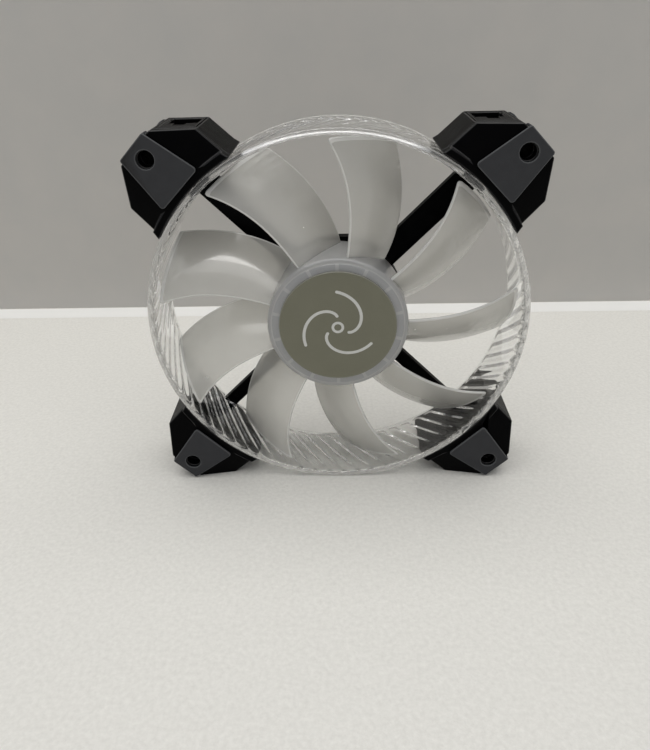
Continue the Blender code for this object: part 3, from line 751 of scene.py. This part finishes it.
def blade_section(r_share, sign):
    """One row of a blade's side, from the front edge to the rear edge; sign picks the side."""
    step, r_step = SLOPE_STEPS
    row = []
    for s in chord_shares():
        tip = tip_radius(s)
        r = BLADE_ROOT_R + (tip - BLADE_ROOT_R) * r_share
        before = max(s - step, 0)
        after = min(s + step, 1)
        along = blade_point(r, after) - blade_point(r, before)
        out = blade_point(r + r_step, s) - blade_point(r - r_step, s)
        normal = along.cross(out).normalized()
        chord = along.length / (after - before)
        share = rounding(min(s, 1 - s) * chord) * rounding(tip - r)
        row.append(blade_point(r, s) + normal * sign * blade_thickness(r, s) / 2 * share)
    return row


def blade_sides():
    """Both sides of a blade, each as rows of points from the root to the tip."""
    shares = [i / BLADE_ROWS for i in range(BLADE_ROWS)]
    shares += TIP_SHARES
    return [[blade_section(share, sign) for share in shares] for sign in (1, -1)]


def blades_tool():
    """All nine blades as closed shells with rounded edges."""
    sides = blade_sides()
    rows = len(sides[0])
    count = len(sides[0][0])
    finish_of_side = [highlight_or_body_slot(i, j, rows, count)
                      for i in range(rows - 1) for j in range(count - 1)]
    points = []
    faces = []
    finish = []
    for k in range(BLADES):
        turn = Matrix.Rotation(-radians(BLADE_TURN + 360 / BLADES * k), 3, "Y")
        start = len(points)
        for side in sides:
            for row in side:
                points += [turn @ p for p in row]
        other = start + rows * count
        side = grid_faces(rows, count, start=start)
        faces += side
        faces += [tuple(f + other - start for f in reversed(face)) for face in side]
        finish += finish_of_side * 2
        root = [start + j for j in range(count)] + [other + j for j in range(count - 2, 0, -1)]
        faces.append(tuple(root))
        finish.append(BLADE_SLOT)
    tool = make("blades_tool", points, faces, HUB, None)
    add_blade_finishes(tool)
    for face, slot in zip(tool.data.polygons, finish):
        face.material_index = slot
    tidy_normals(tool.data, 2e-7)
    return tool


def highlight_or_body_slot(row, column, rows, columns):
    """Material slot of a blade's face: painted highlight at the tip and the sides, or the body."""
    at_tip = row >= rows - len(TIP_SHARES)
    at_side = min(column, columns - 2 - column) < EDGE_COLUMNS
    return HIGHLIGHT_SLOT if at_tip or at_side else BLADE_SLOT


def add_blade_finishes(piece):
    # Slot 1 is the blades' body, slot 2 the painted highlight on their edges.
    piece.data.materials.append(MILKY)
    piece.data.materials.append(MILKY_EDGE_HIGHLIGHT)


def hub_profile():
    """The hub cup from the middle of its front, around its mouth, to the middle of its inside."""
    inner_r = HUB_R - HUB_WALL
    plate_back = HUB_FRONT + HUB_WALL
    band_front = HUB_FRONT + HUB_STEP
    profile = [(r, HUB_FRONT) for r in (0.0, 10.0, 18.4, HUB_STEP_R)]
    profile += [(20.78, HUB_FRONT + 0.05), (20.86, HUB_FRONT + 0.13), (21.1, band_front)]
    profile += fillet((HUB_R, band_front), (20, band_front), (HUB_R, HUB_BACK), HUB_ROUND, 8)
    profile += fillet((HUB_R, HUB_BACK), (HUB_R, HUB_FRONT), (inner_r, HUB_BACK),
                      HUB_MOUTH_ROUND, 3)
    profile += fillet((inner_r, HUB_BACK), (HUB_R, HUB_BACK), (inner_r, plate_back),
                      HUB_MOUTH_ROUND, 3)
    profile += [(inner_r, plate_back), (10.0, plate_back), (0.0, plate_back)]
    return profile


def impeller():
    """Hub and blades, joined into one closed mesh."""
    hub = lathe("fan_wheel", hub_profile(), WHEEL_SIDES, HUB, None, closed=False)
    add_blade_finishes(hub)
    boolean(hub, blades_tool(), "UNION")
    hub.data.shade_smooth()
    hub.data.set_sharp_from_angle(angle=radians(WHEEL_CREASE))
    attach(hub, "rotor")
    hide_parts("impeller")


def stroke(path, width, cap_steps=6):
    """Outline of a line with round ends, drawn in X and Z."""
    left = []
    right = []
    for i, point in enumerate(path):
        along = direction(path, i)
        side = Vector((-along.y, along.x)) * width / 2
        left.append(Vector(point) + side)
        right.append(Vector(point) - side)
    outline = left + half_circle(path[-1], left[-1], cap_steps)
    outline += reversed(right)
    outline += half_circle(path[0], right[0], cap_steps)
    return outline


def direction(path, i):
    """Unit vector along a path at its point i."""
    before = Vector(path[max(i - 1, 0)])
    after = Vector(path[min(i + 1, len(path) - 1)])
    return (after - before).normalized()


def half_circle(centre, start, steps):
    """Points between the ends of a half circle that begins at start."""
    centre = Vector(centre)
    arm = start - centre
    return [centre + Matrix.Rotation(-pi * i / steps, 2) @ arm for i in range(1, steps)]


def add_prism(shell, outline, front, back):
    """A flat shape between two depths, put into a bmesh."""
    lower = [shell.verts.new(Vector((p[0], front, p[1])) * MM) for p in outline]
    upper = [shell.verts.new(Vector((p[0], back, p[1])) * MM) for p in outline]
    shell.faces.new(lower)
    shell.faces.new(list(reversed(upper)))
    for i in range(len(outline)):
        k = (i + 1) % len(outline)
        shell.faces.new((lower[i], lower[k], upper[k], upper[i]))


def badge():
    """Film disc with a bright rim, and its raised mark: three arms around a small ring."""
    film_r = BADGE_R - BADGE_RIM
    film = [(r, BADGE_FACE) for r in (0.0, 9.0, BADGE_R - 0.4, film_r)]
    film += [(r, BADGE_BACK) for r in (film_r, 9.0, 0.0)]
    disc = lathe("badge_film", film, BADGE_SIDES, BADGE, "rotor", closed=False)
    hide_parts("hub_badge")
    rim = [(BADGE_R + r, BADGE_FACE + y) for r, y in RIM_CREST]
    rim += [(BADGE_R, BADGE_BACK), (film_r, BADGE_BACK)]
    edge = lathe("badge_rim", rim, BADGE_SIDES, BADGE_EDGE, "rotor")
    mark_front, mark_back = [BADGE_FACE + depth for depth in MARK_DEPTHS]
    shell = bmesh.new()
    for k in range(MARK_ARMS):
        path = []
        for i in range(MARK_STEPS + 1):
            t = i / MARK_STEPS
            a = radians(BLADE_TURN + 90 + 360 / MARK_ARMS * k + MARK_SWEEP * t)
            r = MARK_START_R + MARK_GROWTH * t ** 0.8
            path.append((r * cos(a), r * sin(a)))
        add_prism(shell, stroke(path, MARK_WIDTH), mark_front, mark_back)
    mark = make_from_shell("badge_mark", shell, MARK, "rotor")
    ring = rectangle(MARK_RING_R, (mark_front, mark_back))
    dot = lathe("badge_mark_ring", ring, MARK_RING_SIDES, MARK, "rotor")


# ---- Corners ----

def corners():
    """Caps, blocks, pads and seams of the four corners, and the sockets of the upper two."""
    for corner, where in enumerate(CORNERS):
        cap = soften(f"cap_{where}", f"corner_cap_{where}", CAP_EDGE, SHELL, "frame",
                     4, clamp=False)
        block = soften(f"block_{where}", f"corner_body_{where}", BLOCK_EDGE, SHELL, "frame",
                       clamp=False)
        darken_hole(cap)
        darken_hole(block)
        for end in ("front", "rear"):
            pad = soften(f"pad_{end}_{where}", f"{end}_pad_{where}", PAD_EDGE, SOFT, "frame",
                         4, clamp=False, tip_round=PAD_TIP_ROUND)
            darken_hole(pad)
            widen_hole(pad)
        seam(corner, where)
    for sign, side in ((1, "right"), (-1, "left")):
        notch = prism("key_notch", rectangle([x * sign for x in KEY_X], KEY_Z), KEY_Y)
        soften(f"plug_seat_{side}", f"socket_{side}", SEAT_EDGE, SHELL, "frame",
               tool=notch)


def seam(corner, where):
    """Thin liner between cap and block, set back so that a dark parting line shows."""
    inner = []
    first, last = SEAM_SPAN
    for i in range(SEAM_STEPS + 1):
        a = radians(first - (first - last) * i / SEAM_STEPS)
        inner.append((SEAM_R * cos(a), SEAM_R * sin(a)))
    chamfer_z = SEAM_CHAMFER * sqrt(2) - SEAM_HALF
    flank = [SEAM_INCLINE, (SEAM_HALF, SEAM_INCLINE_TOP), (SEAM_HALF, chamfer_z)]
    outline = inner + flank + [(z, x) for x, z in reversed(flank)]
    a = radians(90 * corner)
    turned = [(x * cos(a) - z * sin(a), x * sin(a) + z * cos(a)) for x, z in outline]
    liner = prism(f"seam_{where}", turned, SEAM_Y, CHIP)
    hole_u = HOLE_PITCH / sqrt(2)
    hole = []
    for i in range(SEAM_HOLE_SIDES):
        a = 2 * pi * i / SEAM_HOLE_SIDES
        hole.append(on_diagonal(hole_u + HOLE_REACH * cos(a), HOLE_REACH * sin(a), corner))
    past_both_faces = (-10, -6)
    boolean(liner, prism("hole_tool", hole, past_both_faces), "DIFFERENCE")
    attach(liner, "frame")


# ---- Rear ----

def rear():
    """Spider, label and the leads in the wide struts."""
    soften("rear_spider", "spider", SPIDER_EDGE, SHELL, "frame")
    front, back = LABEL_Y
    profile = [(0.0, back), (8.0, back), (LABEL_R - 0.15, back), (LABEL_R - 0.04, back - 0.04),
               (LABEL_R, back - 0.15), (LABEL_R, front), (8.0, front), (0.0, front)]
    foil = lathe("label_foil", profile, LABEL_SIDES, LABEL, "frame", closed=False)
    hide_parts("rear_label")
    for side, where in ((1, "right"), (-1, "left")):
        leads(side, where)


def leads(side, where):
    """Round leads side by side in a strut's channel, turning up to the socket."""
    shell = bmesh.new()
    for i in range(WIRES):
        v = (i - (WIRES - 1) / 2) * WIRE_PITCH
        start = Vector((LEAD_START + v, LEAD_START - v)) / sqrt(2)
        bend_x = LEAD_BEND_X + v
        bend = Vector((bend_x, bend_x - v * sqrt(2)))
        path = rounded_path(start, bend, Vector((bend_x, LEAD_TOP_Z)), LEAD_BEND_REACH)
        add_tube(shell, [(p.x * side, LEAD_Y, p.y) for p in path], WIRE_R, WIRE_SIDES)
    piece = make_from_shell(f"leads_{where}", shell, WIRE, "frame", smooth=True)
    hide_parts(f"wire_ribbon_{where}")


def rounded_path(start, bend, end, reach, straight_steps=10, bend_steps=6):
    """Points from start to end by way of a bend, which is rounded over reach on both sides."""
    p = bend + (start - bend).normalized() * reach
    q = bend + (end - bend).normalized() * reach
    path = [start + (p - start) * i / straight_steps for i in range(straight_steps + 1)]
    for i in range(1, bend_steps):
        t = i / bend_steps
        path.append(p * (1 - t) ** 2 + bend * 2 * t * (1 - t) + q * t * t)
    path += [q, end]
    return path


def add_tube(shell, path, radius, sides):
    """A round tube along a path that lies in one plane square to Y, put into a bmesh."""
    rearward = Vector((0, 1, 0))
    rings = []
    for i, here in enumerate(path):
        across = direction(path, i).cross(rearward).normalized()
        ring = []
        for j in range(sides):
            a = 2 * pi * j / sides
            offset = across * cos(a) * radius + rearward * sin(a) * radius
            ring.append(shell.verts.new((Vector(here) + offset) * MM))
        rings.append(ring)
    for first, second in zip(rings, rings[1:]):
        for j in range(sides):
            k = (j + 1) % sides
            shell.faces.new((first[j], first[k], second[k], second[j]))
    shell.faces.new(rings[0])
    shell.faces.new(list(reversed(rings[-1])))


# ---- Parts kept from the CAD model ----

KEPT = (
    (STEEL, ("rotor_yoke", "shaft", "retaining_clip")),
    (SILICON_STEEL, ("stator_core",)),
    (BRASS, ("bearing_tube", "shaft_bush")),
    (BRONZE, ("sleeve_bearing",)),
    (MAGNET, ("ring_magnet",)),
    (NYLON, ("insulator_front", "insulator_rear", "thrust_pad")),
    (COPPER, ("coil_1", "coil_2", "coil_3", "coil_4")),
    (BOARD, ("driver_board", "socket_board_right", "socket_board_left")),
    (CHIP, ("hall_sensor", "driver_chip")),
    (LAMP, ("led_1", "led_2", "led_3", "led_4")),
    (FELT, ("oil_seal",)),
)


def finish_kept_nodes():
    """Materials and slightly worn edges for the CAD nodes that are shown as they are."""
    groups = list(KEPT)
    contacts = [name for name in NODES if name.startswith("contact_")]
    groups.append((GOLD, contacts))
    for material, names in groups:
        for name in names:
            node = NODES[name]
            node.data.materials.clear()
            node.data.materials.append(material)
            round_edges(node, KEPT_EDGE, 2, KEPT_BEVEL_ANGLE)


# ---- Stage, light and camera ----

def sheet(name, first, second, material):
    """A rectangle as wide as the stage between two edges, each given as its (y, z)."""
    points = [(-STAGE_HALF, *first), (STAGE_HALF, *first),
              (STAGE_HALF, *second), (-STAGE_HALF, *second)]
    return make(name, points, [(0, 1, 2, 3)], material, None, smooth=False)


def stage():
    """Table, backdrop and a pale strip where they meet: a painted highlight on the table's rear
    edge.
    """
    table = surface("table_top", (0.67, 0.66, 0.62), (0.87, 0.86, 0.815), (0.5, 0.65),
                    mottle=1.3, grain=0.7, bump=1.0)
    wall = surface("wall_paint", (0.488, 0.482, 0.462), (0.552, 0.528, 0.495), (0.7, 0.8),
                   mottle=22, grain=1.5, bump=0.2)
    see_from_front_only(wall)
    # Pale strip along the table's rear edge: a painted highlight.
    edge = surface("table_edge_highlight", (0.84, 0.84, 0.82), (0.89, 0.89, 0.87), (0.5, 0.6), mottle=20)
    floor = sheet("floor", (-STAGE_HALF, TABLE_Z), (WALL_Y, TABLE_Z), table)
    back = sheet("backdrop", (WALL_Y, TABLE_Z), (WALL_Y, WALL_TOP), wall)
    lip_z = TABLE_Z + LIP_RISE
    lip = sheet("table_highlight_strip", (LIP_Y[0], lip_z), (LIP_Y[1], lip_z), edge)
    back.visible_shadow = False     # the lamps also light the table from beyond the backdrop


def see_from_front_only(material):
    """Makes the back of a material invisible, so that the fan shows from behind."""
    tree = material.node_tree
    shader = tree.nodes["Principled BSDF"]
    output = tree.nodes["Material Output"]
    geometry = tree.nodes.new("ShaderNodeNewGeometry")
    clear = tree.nodes.new("ShaderNodeBsdfTransparent")
    mix = tree.nodes.new("ShaderNodeMixShader")
    tree.links.new(geometry.outputs["Backfacing"], mix.inputs["Fac"])
    tree.links.new(shader.outputs["BSDF"], mix.inputs[1])
    tree.links.new(clear.outputs["BSDF"], mix.inputs[2])
    tree.links.new(mix.outputs["Shader"], output.inputs["Surface"])


def area_light(name, location, target, size, power, colour=(1.0, 0.985, 0.96)):
    """A rectangular lamp; location, target and size in metres, power in watts."""
    data = bpy.data.lights.new(name, "AREA")
    data.shape = "RECTANGLE"
    data.size, data.size_y = size
    data.energy = power
    data.color = colour
    lamp = bpy.data.objects.new(name, data)
    bpy.context.scene.collection.objects.link(lamp)
    lamp.location = location
    aim = Vector(target) - Vector(location)
    lamp.rotation_euler = aim.to_track_quat("-Z", "Y").to_euler()
    return lamp


def light():
    """The room's dim light, two lamps overhead, and a tube that makes reflections only."""
    world = bpy.data.worlds.new("room")
    world.use_nodes = True
    background = world.node_tree.nodes["Background"]
    background.inputs["Color"].default_value = (0.95, 0.965, 1.0, 1.0)
    background.inputs["Strength"].default_value = 0.36
    bpy.context.scene.world = world
    area_light("ceiling", location=(0.0, 0.15, 1.05), target=(0.0, 0.15, 0.0), size=(1.2, 0.6),
               power=5.4)
    area_light("front", location=(-0.1, -0.42, 0.95), target=(-0.1, -0.1, 0.0), size=(1.6, 0.5),
               power=4.0)
    tube = area_light("tube", location=(-0.1, -0.42, 0.94), target=(-0.1, -0.1, 0.0),
                      size=(1.6, 0.08), power=3.0)
    tube.visible_diffuse = False        # only its reflection in glossy plastic counts
    tube.visible_transmission = False
    scene = bpy.context.scene
    scene.view_settings.view_transform = "Standard"
    scene.view_settings.look = "None"
    # Light is reflected many times inside the clear ring before it leaves it.
    scene.cycles.max_bounces = 24
    scene.cycles.glossy_bounces = 20
    scene.cycles.transmission_bounces = 20


def camera():
    """Looks down at the fan from the front."""
    eye = Vector((1.2878, -188.05, 87.85)) * MM
    yaw, pitch, roll = 0.0319, 0.5166, -0.0263      # radians
    forward = Vector((-sin(yaw) * cos(pitch), cos(yaw) * cos(pitch), -sin(pitch)))
    level = Vector((cos(yaw), sin(yaw), 0))
    above = level.cross(forward)
    right = level * cos(roll) + above * sin(roll)
    up = above * cos(roll) - level * sin(roll)
    data = bpy.data.cameras.new("camera")
    data.lens = 29.93
    data.sensor_width = 36.0
    data.shift_y = -0.0176
    data.clip_start = 0.005
    data.clip_end = 20.0
    seen = bpy.data.objects.new("camera", data)
    bpy.context.scene.collection.objects.link(seen)
    pose = Matrix((right, up, -forward)).transposed().to_4x4()
    pose.translation = eye
    seen.matrix_world = pose
    bpy.context.scene.camera = seen


camera()
duct_ring()
impeller()
badge()
corners()
rear()
finish_kept_nodes()
stage()
light()
